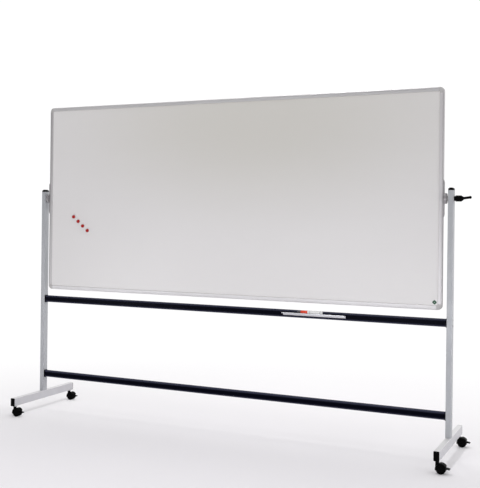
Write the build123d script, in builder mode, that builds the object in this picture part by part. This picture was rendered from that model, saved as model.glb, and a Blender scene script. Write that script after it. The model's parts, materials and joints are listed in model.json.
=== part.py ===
from build123d import *
import os

os.makedirs("parts", exist_ok=True)

# Revolving whiteboard on a wheeled stand. Millimetres. X runs along the board, Y from the front
# to the back, Z up. The origin is on the floor, midway between the two posts.

# Board
board_width = 2600
board_height = 1200
pivot_height = 1394
frame_depth = 22
frame_face = 24
frame_wall = 2
frame_edge_radius = 5
frame_corner_radius = 25
corner_arm = 32
tongue_reach = 18
core_thickness = 16.8
core_insert = 10
core_corner_radius = 10
sheet_thickness = 0.6
sheet_inset = 0.5
slip_gap = 0.3
small_rounding = 1.5
rounding = 2
large_rounding = 3

# Stand
post_gap = 26
post_width = 30
post_depth = 40
post_top = 1438
foot_length = 620
foot_width = 30
foot_height = 50
foot_underside = 65
tube_wall = 1.5
foot_wall = 2
tube_corner_radius = 3
bar_height = 44
bar_depth = 30
bar_corner_radius = 13
upper_bar_height = 727
lower_bar_height = 229

# Plastic ends
cap_flange = 4
cap_plug = 14
cap_plug_radius = 2
foot_cap_radius = 4
post_cap_inset = 1
post_cap_rim = 5
post_cap_dome = 10
post_cap_slope = 32
bar_plug_lip = 2
bar_plug_reach = 24
bar_plug_radius = 6

# Pivots
plate_width = 20
plate_height = 200
plate_thickness = 4
plate_end = 14
plate_tip = 1
plate_corner_radius = 4
hub_radius = 29
hub_thickness = 14
hub_boss_radius = 13
shaft_radius = 6
bush_flange = 3
bush_flange_radius = 15
bush_radius = 8
running_gap = 0.05
left_shaft_short = 5
right_shaft_short = 2
face_gap = 0.3

# Clamp lever
lever_neck_radius = 13
lever_neck = 7
lever_hub_radius = 16.5
lever_hub = 30
lever_nose = 11
lever_nose_taper = 34
lever_flutes = 10
flute_radius = 2.2
flute_offset = 1
flute_stop = 3
lever_arm = (29, 36, 7)
lever_arm_radius = 7.5
lever_arm_taper = 1
lever_ball_radius = 8
insert_radius = 9
insert_length = 38

# Screws and bolts
bar_screw_radius = 3
bar_screw_spacing = 30
bar_screw_head = 3.5
bar_screw_head_taper = 20
bar_screw_length = 54
plate_screw_radius = 2
plate_screw_head = 2
plate_screw_offsets = (-80, -45, 45, 80)
base_bolt_radius = 4
base_bolt_spacing = 20
base_bolt_length = 75
base_bolt_head_radius = 6.4
base_bolt_head = 4
base_plug_height = 30
base_plug_radius = 2

# Pen tray and marker
tray_start = 385
tray_length = 378
tray_floor = 734
tray_reach = 27
tray_wall = 1.5
tray_lip_above = 2
tray_skirt = 3.5
tray_back = 15
tray_rounding = 0.6
marker_start = 479
marker_radius = 9
marker_length = 88
marker_neck_radius = 6
marker_neck = 20
cap_hole = 24
cap_length = 42
cap_tip_length = 21
cap_tip_radius = 6

# Magnets and corner sticker
magnet_radius = 11
magnet_thickness = 8
first_magnet = (-1103, -120)
magnet_step = (36, -29.5)
sticker_radius = 12
sticker_thickness = 0.3
sticker_inset = 41

# Casters: each trails towards +X, with two wheels on one axle
wheel_radius = 25
wheel_width = 14
wheel_gap = 9
wheel_recess = 2
wheel_rim_radius = 18
wheel_hub_radius = 8.5
wheel_bore_spare = 1
caster_trail = 20
caster_inset = 25
web_thickness = 8
bay_radius = 26
hood_radius = 28.5
hood_width = 38
hood_skirt = 7
hood_top = 60
boss_radius = 10
stem_radius = 4
stem_bottom = 45
thread_radius = 5
thread_length = 25
axle_radius = 2.5
axle_reach = 15.5
pedal_window = 24
pedal_window_top = 41
pedal_pivot = (18.6, 4)
pedal_pivot_radius = 1.5
pedal_slot = (11, 13)
pedal_slot_half = 1.9
pedal_tongue_half = 1.5
pedal_tongue_height = 3.9
pedal_overlap = 1
pedal_top = (3, 2, -1)
pedal_underside = (-2, -2, -4)
pedal_tip = 1
pedal_start = 26.2
pedal_reach = 18
pedal_width = 26

# Worked out from the dimensions above
post_x = board_width / 2 + post_gap + post_width / 2
post_inner = post_x - post_width / 2
post_outer = post_x + post_width / 2
post_bottom = foot_underside + foot_height
board_face = core_thickness / 2 + sheet_thickness
channel_width = 2 * board_face
plate_outer = board_width / 2 + plate_thickness
hub_outer = plate_outer + hub_thickness
bush_inner = post_inner - bush_flange
lever_base = post_outer + face_gap
foot_tube = foot_length - 2 * cap_flange
bar_tube = 2 * (post_inner - cap_flange)
stem_y = foot_length / 2 - caster_inset
sides = {"left": -1, "right": 1}
casters = {
    "front_left": (-post_x, -stem_y),
    "front_right": (post_x, -stem_y),
    "rear_left": (-post_x, stem_y),
    "rear_right": (post_x, stem_y),
}


def save(piece, name):
    """Labels a finished piece and writes it as a STEP file."""
    piece.part.label = name
    export_step(piece.part, f"parts/{name}.step")


def level(x, y, z):
    """A horizontal plane at a point."""
    return Plane(origin=(x, y, z))


def upright(x, y, z):
    """A plane that faces the front, with its own Y pointing up."""
    return Plane(origin=(x, y, z), x_dir=(1, 0, 0), z_dir=(0, -1, 0))


def outward(sign, x, z=0):
    """A plane across X that faces away from the middle, with its own Y pointing up."""
    return Plane(origin=(sign * x, 0, z), x_dir=(0, sign, 0), z_dir=(sign, 0, 0))


def tube_section(width, depth, wall, radius):
    """A rectangular tube's section, drawn in the sketch that is open."""
    RectangleRounded(width, depth, radius)
    RectangleRounded(width - 2 * wall, depth - 2 * wall, radius - wall, mode=Mode.SUBTRACT)


def channel_section(section):
    """The frame's U section: outer face on Y = 0, open towards -Y."""
    Rectangle(frame_depth, frame_face, align=(Align.CENTER, Align.MAX))
    fillet(section.vertices().group_by(Axis.Y)[-1], frame_edge_radius)
    with Locations((0, -frame_wall - frame_face)):
        RectangleRounded(
            channel_width, 2 * frame_face, frame_edge_radius - frame_wall, mode=Mode.SUBTRACT
        )


def tongue_section():
    """The section of a corner piece's tongue, which fits in a rail beside the core."""
    tongue_height = frame_face - frame_wall - core_insert - 2 * slip_gap
    with Locations((0, -frame_wall - tongue_height / 2)):
        RectangleRounded(
            channel_width - 2 * slip_gap, tongue_height, frame_edge_radius - frame_wall + slip_gap
        )


# ---------------------------------------------------------------- board

with BuildPart() as board_core:
    with BuildSketch(upright(0, 0, pivot_height)):
        RectangleRounded(
            board_width - 2 * (frame_face - core_insert),
            board_height - 2 * (frame_face - core_insert),
            core_corner_radius,
        )
    extrude(amount=core_thickness / 2, both=True)
save(board_core, "board_core")

for name, sign in {"front": -1, "back": 1}.items():
    with BuildPart() as sheet:
        sheet_face = Plane(
            origin=(0, sign * core_thickness / 2, pivot_height),
            x_dir=(1, 0, 0),
            z_dir=(0, sign, 0),
        )
        with BuildSketch(sheet_face):
            Rectangle(
                board_width - 2 * (frame_face + sheet_inset),
                board_height - 2 * (frame_face + sheet_inset),
            )
        extrude(amount=sheet_thickness)
    save(sheet, f"{name}_writing_sheet")

for name, sign in {"top": 1, "bottom": -1}.items():
    rail_plane = Plane(
        origin=(0, 0, pivot_height + sign * board_height / 2),
        x_dir=(0, 1, 0),
        z_dir=(sign, 0, 0),
    )
    with BuildPart() as rail:
        with BuildSketch(rail_plane) as section:
            channel_section(section)
        extrude(amount=board_width / 2 - corner_arm, both=True)
    save(rail, f"frame_{name}_rail")

for name, sign in sides.items():
    rail_plane = Plane(
        origin=(sign * board_width / 2, 0, pivot_height), x_dir=(0, 1, 0), z_dir=(0, 0, -sign)
    )
    with BuildPart() as rail:
        with BuildSketch(rail_plane) as section:
            channel_section(section)
        extrude(amount=board_height / 2 - corner_arm, both=True)
        with BuildSketch(outward(sign, board_width / 2, pivot_height)):
            with Locations([(0, offset) for offset in plate_screw_offsets]):
                Circle(plate_screw_radius)
        extrude(amount=-frame_wall, mode=Mode.SUBTRACT)
    save(rail, f"frame_{name}_rail")

# Each corner piece is the rails' section bent round the corner, with a tongue in each rail.
with BuildPart() as frame_corners:
    for sign_x in (-1, 1):
        for sign_z in (-1, 1):
            corner = Plane(
                origin=(
                    sign_x * board_width / 2,
                    0,
                    pivot_height + sign_z * board_height / 2,
                ),
                x_dir=(sign_x, 0, 0),
                z_dir=(0, -sign_x * sign_z, 0),
            )
            with BuildLine(corner) as path:
                FilletPolyline((-corner_arm, 0), (0, 0), (0, -corner_arm), radius=frame_corner_radius)
            bend = path.line
            across = (0, sign_x * sign_z, 0)
            with BuildSketch(Plane(origin=bend @ 0, x_dir=across, z_dir=bend % 0)) as section:
                channel_section(section)
            sweep(path=bend)
            for end in (0, 1):
                with BuildSketch(Plane(origin=bend @ end, x_dir=across, z_dir=bend % end)):
                    tongue_section()
                outwards = 1 if end else -1
                extrude(amount=outwards * tongue_reach)
                with BuildSketch(Plane(origin=bend @ end, x_dir=across, z_dir=bend % end)):
                    tongue_section()
                extrude(amount=-outwards * (corner_arm - frame_corner_radius))
save(frame_corners, "frame_corners")

with BuildPart() as corner_sticker:
    with BuildSketch(
        upright(
            board_width / 2 - sticker_inset,
            -board_face,
            pivot_height - board_height / 2 + sticker_inset,
        )
    ):
        Circle(sticker_radius)
    extrude(amount=sticker_thickness)
save(corner_sticker, "corner_sticker")

for number in range(4):
    magnet_x = first_magnet[0] + number * magnet_step[0]
    magnet_z = pivot_height + first_magnet[1] + number * magnet_step[1]
    with BuildPart() as magnet:
        with BuildSketch(upright(magnet_x, -board_face, magnet_z)):
            Circle(magnet_radius)
        extrude(amount=magnet_thickness)
        fillet(magnet.edges().group_by(Axis.Y)[0], rounding)
    save(magnet, f"red_magnet_{number + 1}")

# ---------------------------------------------------------------- pivots

for name, sign in sides.items():
    with BuildPart() as plate:
        with BuildSketch(upright(sign * board_width / 2, 0, pivot_height)):
            with BuildLine():
                Polyline(
                    (0, -plate_height / 2),
                    (sign * plate_tip, -plate_height / 2),
                    (sign * plate_thickness, plate_end - plate_height / 2),
                    (sign * plate_thickness, plate_height / 2 - plate_end),
                    (sign * plate_tip, plate_height / 2),
                    (0, plate_height / 2),
                    close=True,
                )
            make_face()
        extrude(amount=plate_width / 2, both=True)
        fillet(plate.edges().filter_by(Axis.X), plate_corner_radius)
        with BuildSketch(outward(sign, board_width / 2, pivot_height)):
            with Locations([(0, offset) for offset in plate_screw_offsets]):
                Circle(plate_screw_radius)
        extrude(amount=plate_thickness, mode=Mode.SUBTRACT)
    save(plate, f"{name}_pivot_plate")

# The right shaft runs on through the post into the clamp lever, the left one ends in its bush.
shaft_end = {
    "left": post_outer - left_shaft_short,
    "right": lever_base + insert_length - right_shaft_short,
}
for name, sign in sides.items():
    with BuildPart() as hub:
        with BuildSketch(outward(sign, plate_outer, pivot_height)):
            Circle(hub_radius)
        extrude(amount=hub_thickness)
        hub_faces = hub.faces().filter_by(Axis.X).sort_by(Axis.X)
        outer_face = hub_faces[-1] if sign > 0 else hub_faces[0]
        fillet(outer_face.edges(), large_rounding)
        with BuildSketch(outward(sign, hub_outer, pivot_height)):
            Circle(hub_boss_radius)
        extrude(amount=bush_inner - face_gap - hub_outer)
        with BuildSketch(outward(sign, hub_outer, pivot_height)):
            Circle(shaft_radius)
        extrude(amount=shaft_end[name] - hub_outer)
    save(hub, f"{name}_pivot_hub")

    with BuildPart() as bush:
        with BuildSketch(outward(sign, bush_inner, pivot_height)):
            Circle(bush_flange_radius)
        extrude(amount=bush_flange)
        with BuildSketch(outward(sign, post_inner, pivot_height)):
            Circle(bush_radius)
        extrude(amount=post_width)
        with BuildSketch(outward(sign, bush_inner, pivot_height)):
            Circle(shaft_radius + running_gap)
        extrude(amount=bush_flange + post_width, mode=Mode.SUBTRACT)
    save(bush, f"{name}_pivot_bush")

with BuildPart() as pivot_plate_screws:
    for sign in sides.values():
        with BuildSketch(outward(sign, plate_outer, pivot_height)):
            with Locations([(0, offset) for offset in plate_screw_offsets]):
                Circle(2 * plate_screw_radius)
        extrude(amount=plate_screw_head)
        with BuildSketch(outward(sign, plate_outer, pivot_height)):
            with Locations([(0, offset) for offset in plate_screw_offsets]):
                Circle(plate_screw_radius)
        extrude(amount=-(core_insert + slip_gap))
save(pivot_plate_screws, "pivot_plate_screws")

# ---------------------------------------------------------------- clamp lever

arm_direction = Vector(*lever_arm)
nose_start = lever_base + lever_neck + lever_hub
arm_start = Vector(nose_start, 0, pivot_height)
arm_end = arm_start + Vector(lever_nose, 0, 0) + arm_direction
with BuildPart() as clamp_lever:
    with BuildSketch(outward(1, lever_base, pivot_height)):
        Circle(lever_neck_radius)
    extrude(amount=lever_neck)
    with BuildSketch(outward(1, lever_base + lever_neck, pivot_height)):
        Circle(lever_hub_radius)
    extrude(amount=lever_hub)
    hub_rims = clamp_lever.edges().filter_by(GeomType.CIRCLE).group_by(SortBy.RADIUS)[-1]
    fillet(hub_rims.sort_by(Axis.X)[0], large_rounding)
    with BuildSketch(outward(1, nose_start, pivot_height)):
        Circle(lever_hub_radius)
    extrude(amount=lever_nose, taper=lever_nose_taper)
    with BuildSketch(outward(1, lever_base + lever_neck, pivot_height)):
        with PolarLocations(lever_hub_radius + flute_offset, lever_flutes):
            Circle(flute_radius)
    extrude(amount=lever_hub - flute_stop, mode=Mode.SUBTRACT)
    with BuildSketch(Plane(origin=arm_start, z_dir=arm_end - arm_start)):
        Circle(lever_arm_radius)
    extrude(amount=(arm_end - arm_start).length, taper=lever_arm_taper)
    with Locations(arm_end):
        Sphere(lever_ball_radius)
    with BuildSketch(outward(1, lever_base, pivot_height)):
        Circle(insert_radius)
    extrude(amount=insert_length, mode=Mode.SUBTRACT)
save(clamp_lever, "clamp_lever")

with BuildPart() as clamp_insert:
    with BuildSketch(outward(1, lever_base, pivot_height)):
        Circle(insert_radius)
        Circle(shaft_radius + running_gap, mode=Mode.SUBTRACT)
    extrude(amount=insert_length)
save(clamp_insert, "clamp_insert")

# ---------------------------------------------------------------- stand

bar_screw_heights = [
    height + step * bar_screw_spacing / 2
    for height in (upper_bar_height, lower_bar_height)
    for step in (-1, 1)
]
base_bolt_offsets = [(0, -base_bolt_spacing / 2), (0, base_bolt_spacing / 2)]

for name, sign in sides.items():
    with BuildPart() as post:
        with BuildSketch(level(sign * post_x, 0, post_bottom)):
            tube_section(post_width, post_depth, tube_wall, tube_corner_radius)
        extrude(amount=post_top - post_bottom)
        with BuildSketch(outward(sign, post_inner)):
            with Locations((0, pivot_height)):
                Circle(bush_radius)
            with Locations([(0, height) for height in bar_screw_heights]):
                Circle(bar_screw_radius)
        extrude(amount=post_width, mode=Mode.SUBTRACT)
    save(post, f"{name}_post")

    with BuildPart() as foot:
        with BuildSketch(upright(sign * post_x, 0, foot_underside + foot_height / 2)):
            tube_section(foot_width, foot_height, foot_wall, tube_corner_radius)
        extrude(amount=foot_tube / 2, both=True)
        with BuildSketch(level(sign * post_x, 0, foot_underside)):
            with Locations(base_bolt_offsets):
                Circle(base_bolt_radius)
        extrude(amount=foot_height, mode=Mode.SUBTRACT)
        with BuildSketch(level(sign * post_x, 0, foot_underside)):
            with Locations((0, -stem_y), (0, stem_y)):
                Circle(thread_radius)
        extrude(amount=foot_wall, mode=Mode.SUBTRACT)
    save(foot, f"{name}_foot")

with BuildPart() as post_top_caps:
    for sign in sides.values():
        with BuildSketch(level(sign * post_x, 0, post_top)):
            RectangleRounded(post_width - post_cap_inset, post_depth - post_cap_inset, tube_corner_radius)
        extrude(amount=post_cap_rim)
        with BuildSketch(level(sign * post_x, 0, post_top + post_cap_rim)):
            RectangleRounded(post_width - post_cap_inset, post_depth - post_cap_inset, tube_corner_radius)
        extrude(amount=post_cap_dome, taper=post_cap_slope)
        with BuildSketch(level(sign * post_x, 0, post_top)):
            RectangleRounded(
                post_width - 2 * tube_wall - slip_gap,
                post_depth - 2 * tube_wall - slip_gap,
                cap_plug_radius,
            )
        extrude(amount=-cap_plug)
save(post_top_caps, "post_top_caps")

with BuildPart() as foot_end_caps:
    for sign in sides.values():
        for end in (-1, 1):
            tube_end = Plane(
                origin=(sign * post_x, end * foot_tube / 2, foot_underside + foot_height / 2),
                x_dir=(-end, 0, 0),
                z_dir=(0, end, 0),
            )
            with BuildSketch(tube_end):
                RectangleRounded(foot_width, foot_height, foot_cap_radius)
            extrude(amount=cap_flange)
            with BuildSketch(tube_end):
                RectangleRounded(
                    foot_width - 2 * foot_wall - slip_gap,
                    foot_height - 2 * foot_wall - slip_gap,
                    cap_plug_radius,
                )
            extrude(amount=-cap_plug)
    fillet(foot_end_caps.edges().filter_by(Plane.XZ).group_by(Axis.Y)[0], small_rounding)
    fillet(foot_end_caps.edges().filter_by(Plane.XZ).group_by(Axis.Y)[-1], small_rounding)
save(foot_end_caps, "foot_end_caps")

with BuildPart() as post_base_plugs:
    for sign in sides.values():
        with BuildSketch(level(sign * post_x, 0, post_bottom)):
            RectangleRounded(
                post_width - 2 * tube_wall, post_depth - 2 * tube_wall, base_plug_radius
            )
            with Locations(base_bolt_offsets):
                Circle(base_bolt_radius, mode=Mode.SUBTRACT)
        extrude(amount=base_plug_height)
save(post_base_plugs, "post_base_plugs")

with BuildPart() as post_base_bolts:
    for sign in sides.values():
        with BuildSketch(level(sign * post_x, 0, foot_underside)):
            with Locations(base_bolt_offsets):
                Circle(base_bolt_radius)
        extrude(amount=base_bolt_length)
        with BuildSketch(level(sign * post_x, 0, foot_underside)):
            with Locations(base_bolt_offsets):
                RegularPolygon(base_bolt_head_radius, 6)
        extrude(amount=-base_bolt_head)
save(post_base_bolts, "post_base_bolts")

for name, height in {"upper": upper_bar_height, "lower": lower_bar_height}.items():
    with BuildPart() as crossbar:
        with BuildSketch(outward(1, 0, height)):
            tube_section(bar_depth, bar_height, tube_wall, bar_corner_radius)
        extrude(amount=bar_tube / 2, both=True)
    save(crossbar, f"{name}_crossbar")

with BuildPart() as crossbar_end_plugs:
    for sign in sides.values():
        for height in (upper_bar_height, lower_bar_height):
            screws = [(0, -bar_screw_spacing / 2), (0, bar_screw_spacing / 2)]
            with BuildSketch(outward(sign, post_inner, height)):
                RectangleRounded(
                    bar_depth + 2 * bar_plug_lip, bar_height + 2 * bar_plug_lip, bar_plug_radius
                )
                with Locations(screws):
                    Circle(bar_screw_radius, mode=Mode.SUBTRACT)
            extrude(amount=-cap_flange)
            with BuildSketch(outward(sign, bar_tube / 2, height)):
                RectangleRounded(
                    bar_depth - 2 * tube_wall - slip_gap,
                    bar_height - 2 * tube_wall - slip_gap,
                    bar_corner_radius - tube_wall,
                )
                with Locations(screws):
                    Circle(bar_screw_radius, mode=Mode.SUBTRACT)
            extrude(amount=-bar_plug_reach)
save(crossbar_end_plugs, "crossbar_end_plugs")

with BuildPart() as crossbar_screws:
    for sign in sides.values():
        with BuildSketch(outward(sign, post_outer)):
            with Locations([(0, height) for height in bar_screw_heights]):
                Circle(2 * bar_screw_radius)
        extrude(amount=bar_screw_head, taper=bar_screw_head_taper)
        with BuildSketch(outward(sign, post_outer)):
            with Locations([(0, height) for height in bar_screw_heights]):
                Circle(bar_screw_radius)
        extrude(amount=-bar_screw_length)
save(crossbar_screws, "crossbar_screws")

# ---------------------------------------------------------------- pen tray and marker

tray_front = -bar_depth / 2 - tray_reach
with BuildPart() as pen_tray:
    with BuildSketch(outward(1, tray_start)):
        with Locations((-bar_depth / 2, tray_floor)):
            Rectangle(tray_wall, tray_back, align=(Align.MAX, Align.MAX))
            Rectangle(tray_reach, tray_wall, align=(Align.MAX, Align.MAX))
        with Locations((tray_front, tray_floor + tray_lip_above)):
            Rectangle(tray_wall, tray_lip_above + tray_skirt, align=(Align.MIN, Align.MAX))
    extrude(amount=tray_length)
    fillet(pen_tray.edges().filter_by(Axis.X).group_by(Axis.Z)[-1], tray_rounding)
save(pen_tray, "pen_tray")

marker_y = -(bar_depth + tray_reach + tray_wall) / 2
marker_z = tray_floor + marker_radius
barrel_start = marker_start + cap_tip_length + cap_length


def along(x):
    """A plane across the marker's length."""
    return Plane(origin=(x, marker_y, marker_z), x_dir=(0, 1, 0), z_dir=(1, 0, 0))


with BuildPart() as marker_barrel:
    with BuildSketch(along(barrel_start)):
        Circle(marker_radius)
    extrude(amount=marker_length)
    fillet(marker_barrel.edges().group_by(Axis.X)[-1], small_rounding)
    with BuildSketch(along(barrel_start)):
        Circle(marker_neck_radius)
    extrude(amount=-marker_neck)
save(marker_barrel, "marker_barrel")

with BuildPart() as marker_cap:
    with BuildSketch(along(barrel_start - face_gap)):
        Circle(marker_radius)
    extrude(amount=face_gap - cap_length)
    fillet(marker_cap.edges().group_by(Axis.X)[0], small_rounding)
    with BuildSketch(along(barrel_start - face_gap)):
        Circle(marker_neck_radius + slip_gap)
    extrude(amount=-cap_hole, mode=Mode.SUBTRACT)
save(marker_cap, "marker_cap")

with BuildPart() as marker_cap_tip:
    with BuildSketch(along(marker_start)):
        Circle(cap_tip_radius)
    extrude(amount=cap_tip_length)
    fillet(marker_cap_tip.edges().group_by(Axis.X)[0], rounding)
save(marker_cap_tip, "marker_cap_tip")

# ---------------------------------------------------------------- casters

with BuildPart() as caster_stems:
    for x, y in casters.values():
        with BuildSketch(level(x, y, stem_bottom)):
            Circle(stem_radius)
        extrude(amount=foot_underside - stem_bottom)
        with BuildSketch(level(x, y, hood_top + face_gap)):
            RegularPolygon(boss_radius, 6)
        extrude(amount=foot_underside - hood_top - face_gap)
        with BuildSketch(level(x, y, foot_underside)):
            Circle(thread_radius)
        extrude(amount=thread_length)
save(caster_stems, "caster_stems")

for name, (x, y) in casters.items():
    wheel_x = x + caster_trail
    with BuildPart() as hood:
        with BuildSketch(upright(wheel_x, y, wheel_radius)):
            Circle(hood_radius)
            with Locations((0, -hood_skirt)):
                Rectangle(
                    3 * hood_radius, hood_radius, align=(Align.CENTER, Align.MAX), mode=Mode.SUBTRACT
                )
        extrude(amount=hood_width / 2, both=True)
        with BuildSketch(level(x, y, wheel_radius)):
            Circle(boss_radius)
        extrude(amount=hood_top - wheel_radius)
        for side in (-1, 1):
            bay_width = hood_width - web_thickness
            bay_y = y + side * (web_thickness + bay_width) / 2
            with BuildSketch(upright(wheel_x, bay_y, wheel_radius)):
                Circle(bay_radius)
            extrude(amount=bay_width / 2, both=True, mode=Mode.SUBTRACT)
        with BuildSketch(upright(wheel_x + pedal_window, y, pedal_window_top)):
            Rectangle(hood_radius, hood_radius, align=(Align.MIN, Align.MAX))
        extrude(amount=hood_width, both=True, mode=Mode.SUBTRACT)
        with BuildSketch(upright(wheel_x + pedal_pivot[0], y, wheel_radius + pedal_pivot[1])):
            Rectangle(*pedal_slot)
        extrude(amount=pedal_slot_half, both=True, mode=Mode.SUBTRACT)
        with BuildSketch(upright(wheel_x + pedal_pivot[0], y, wheel_radius + pedal_pivot[1])):
            Circle(pedal_pivot_radius + running_gap)
        extrude(amount=web_thickness, both=True, mode=Mode.SUBTRACT)
        with BuildSketch(upright(wheel_x, y, wheel_radius)):
            Circle(axle_radius)
        extrude(amount=web_thickness, both=True, mode=Mode.SUBTRACT)
        with BuildSketch(level(x, y, stem_bottom - face_gap)):
            Circle(stem_radius + running_gap)
        extrude(amount=hood_top, mode=Mode.SUBTRACT)
    save(hood, f"{name}_caster_hood")

    with BuildPart() as axle:
        with BuildSketch(upright(wheel_x, y, wheel_radius)):
            Circle(axle_radius)
        extrude(amount=axle_reach, both=True)
    save(axle, f"{name}_caster_axle")

    for side_name, side in {"front": -1, "back": 1}.items():
        with BuildPart() as wheel:
            wheel_face = Plane(
                origin=(wheel_x, y + side * wheel_gap / 2, wheel_radius),
                x_dir=(1, 0, 0),
                z_dir=(0, side, 0),
            )
            with BuildSketch(wheel_face):
                Circle(wheel_radius)
            extrude(amount=wheel_width)
            fillet(wheel.edges(), rounding)
            with BuildSketch(wheel_face.offset(wheel_width)):
                Circle(wheel_rim_radius)
                Circle(wheel_hub_radius, mode=Mode.SUBTRACT)
            extrude(amount=-wheel_recess, mode=Mode.SUBTRACT)
            with BuildSketch(wheel_face):
                Circle(axle_radius + running_gap)
            extrude(amount=axle_reach - wheel_gap / 2 + wheel_bore_spare, mode=Mode.SUBTRACT)
        save(wheel, f"{name}_caster_{side_name}_wheel")

    pivot_x = wheel_x + pedal_pivot[0]
    pivot_z = wheel_radius + pedal_pivot[1]
    with BuildPart() as pedal:
        with BuildSketch(upright(pivot_x, y, pivot_z)):
            Circle(2 * pedal_pivot_radius)
            Rectangle(
                pedal_start - pedal_pivot[0] + pedal_overlap,
                pedal_tongue_height,
                align=(Align.MIN, Align.CENTER),
            )
        extrude(amount=pedal_tongue_half, both=True)
        with BuildSketch(upright(pivot_x, y, pivot_z)):
            Circle(pedal_pivot_radius)
        extrude(amount=web_thickness / 2, both=True)
        with BuildSketch(upright(wheel_x + pedal_start, y, pivot_z)):
            with BuildLine():
                Polyline(
                    (0, pedal_underside[0]),
                    (0, pedal_top[0]),
                    (pedal_reach / 2, pedal_top[1]),
                    (pedal_reach, pedal_top[2]),
                    (pedal_reach - pedal_tip, pedal_underside[2]),
                    (pedal_reach / 2, pedal_underside[1]),
                    close=True,
                )
            make_face()
        extrude(amount=pedal_width / 2, both=True)
    save(pedal, f"{name}_caster_pedal")
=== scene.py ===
import json
import math

import bmesh
import bpy
from mathutils import Matrix, Vector


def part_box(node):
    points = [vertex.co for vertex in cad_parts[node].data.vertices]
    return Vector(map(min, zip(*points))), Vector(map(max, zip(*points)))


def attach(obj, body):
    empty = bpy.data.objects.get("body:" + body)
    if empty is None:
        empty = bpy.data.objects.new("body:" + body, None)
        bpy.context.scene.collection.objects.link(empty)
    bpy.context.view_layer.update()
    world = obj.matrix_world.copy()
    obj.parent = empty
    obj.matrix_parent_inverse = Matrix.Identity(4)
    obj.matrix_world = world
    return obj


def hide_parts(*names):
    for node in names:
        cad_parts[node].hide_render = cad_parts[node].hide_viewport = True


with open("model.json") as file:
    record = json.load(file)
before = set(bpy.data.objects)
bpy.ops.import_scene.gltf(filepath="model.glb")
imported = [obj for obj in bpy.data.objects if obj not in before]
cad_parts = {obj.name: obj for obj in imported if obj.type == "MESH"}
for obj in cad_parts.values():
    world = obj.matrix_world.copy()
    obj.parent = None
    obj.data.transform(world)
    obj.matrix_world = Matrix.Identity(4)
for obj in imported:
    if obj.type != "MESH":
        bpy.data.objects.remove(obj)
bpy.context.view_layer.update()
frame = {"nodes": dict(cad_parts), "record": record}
scene = bpy.context.scene
nodes = frame["nodes"]
bodies = frame["record"]["behaviour"]["bodies"]
body_of = {node: body for body, members in bodies.items() for node in members}
slot_of = {part["node"]: part["material_slot"] for part in frame["record"]["subparts"]}
MM = 0.001

# ---------------------------------------------------------------- materials


class Nodes:
    """A material's node tree, with short calls for the nodes used here."""

    def __init__(self, name):
        self.material = bpy.data.materials.new(name)
        self.material.use_nodes = True
        self.tree = self.material.node_tree
        self.shader = self.tree.nodes["Principled BSDF"]
        texture = self.tree.nodes.new("ShaderNodeTexCoord")
        self.coords = texture.outputs["Object"]
        self.normal = texture.outputs["Normal"]

    def add(self, kind, inputs=(), **settings):
        node = self.tree.nodes.new("ShaderNode" + kind)
        for key, value in settings.items():
            setattr(node, key, value)
        for key, value in dict(inputs).items():
            if isinstance(value, bpy.types.NodeSocket):
                self.tree.links.new(value, node.inputs[key])
            else:
                node.inputs[key].default_value = value
        return node

    def link(self, output, key):
        self.tree.links.new(output, self.shader.inputs[key])

    def scaled(self, scale):
        return self.add("Mapping", {"Vector": self.coords, "Scale": scale}).outputs[0]

    def noise(self, scale, detail=2.0, vector=None, roughness=0.5, distortion=0.0):
        return self.add(
            "TexNoise",
            {
                "Vector": vector or self.coords,
                "Scale": scale,
                "Detail": detail,
                "Roughness": roughness,
                "Distortion": distortion,
            },
        ).outputs["Fac"]

    def cells(self, scale, feature="F1"):
        node = self.add("TexVoronoi", {"Vector": self.coords, "Scale": scale}, feature=feature)
        return node.outputs["Distance"]

    def span(self, value, low, high, to_low, to_high, clamp=True):
        return self.add(
            "MapRange",
            {
                "Value": value,
                "From Min": low,
                "From Max": high,
                "To Min": to_low,
                "To Max": to_high,
            },
            clamp=clamp,
        ).outputs[0]

    def math(self, operation, a, b=0.0):
        return self.add("Math", {0: a, 1: b}, operation=operation).outputs[0]

    def vector_math(self, operation, a, b=(0.0, 0.0, 0.0)):
        return self.add("VectorMath", {0: a, 1: b}, operation=operation).outputs

    def faded(self, distance, start, end, to_low, to_high):
        """A smooth step from to_low to to_high, as distance goes from start to end."""
        return self.add(
            "MapRange",
            {
                "Value": distance,
                "From Min": start,
                "From Max": end,
                "To Min": to_low,
                "To Max": to_high,
            },
            interpolation_type="SMOOTHSTEP",
        ).outputs[0]

    def mix(self, factor, a, b):
        node = self.add("Mix", {"Factor": factor}, data_type="RGBA")
        for socket, value in ((node.inputs[6], a), (node.inputs[7], b)):
            if isinstance(value, bpy.types.NodeSocket):
                self.tree.links.new(value, socket)
            else:
                socket.default_value = (*value, 1.0)
        return node.outputs[2]

    def axis(self, which):
        return self.add("SeparateXYZ", {"Vector": self.coords}).outputs[which]

    def bump(self, height, strength, distance):
        node = self.add("Bump", {"Height": height, "Strength": strength, "Distance": distance})
        self.link(node.outputs[0], "Normal")

    def set(self, **values):
        for key, value in values.items():
            self.shader.inputs[key.replace("_", " ")].default_value = value


def darker(color, share):
    return tuple(c * share for c in color)


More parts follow.
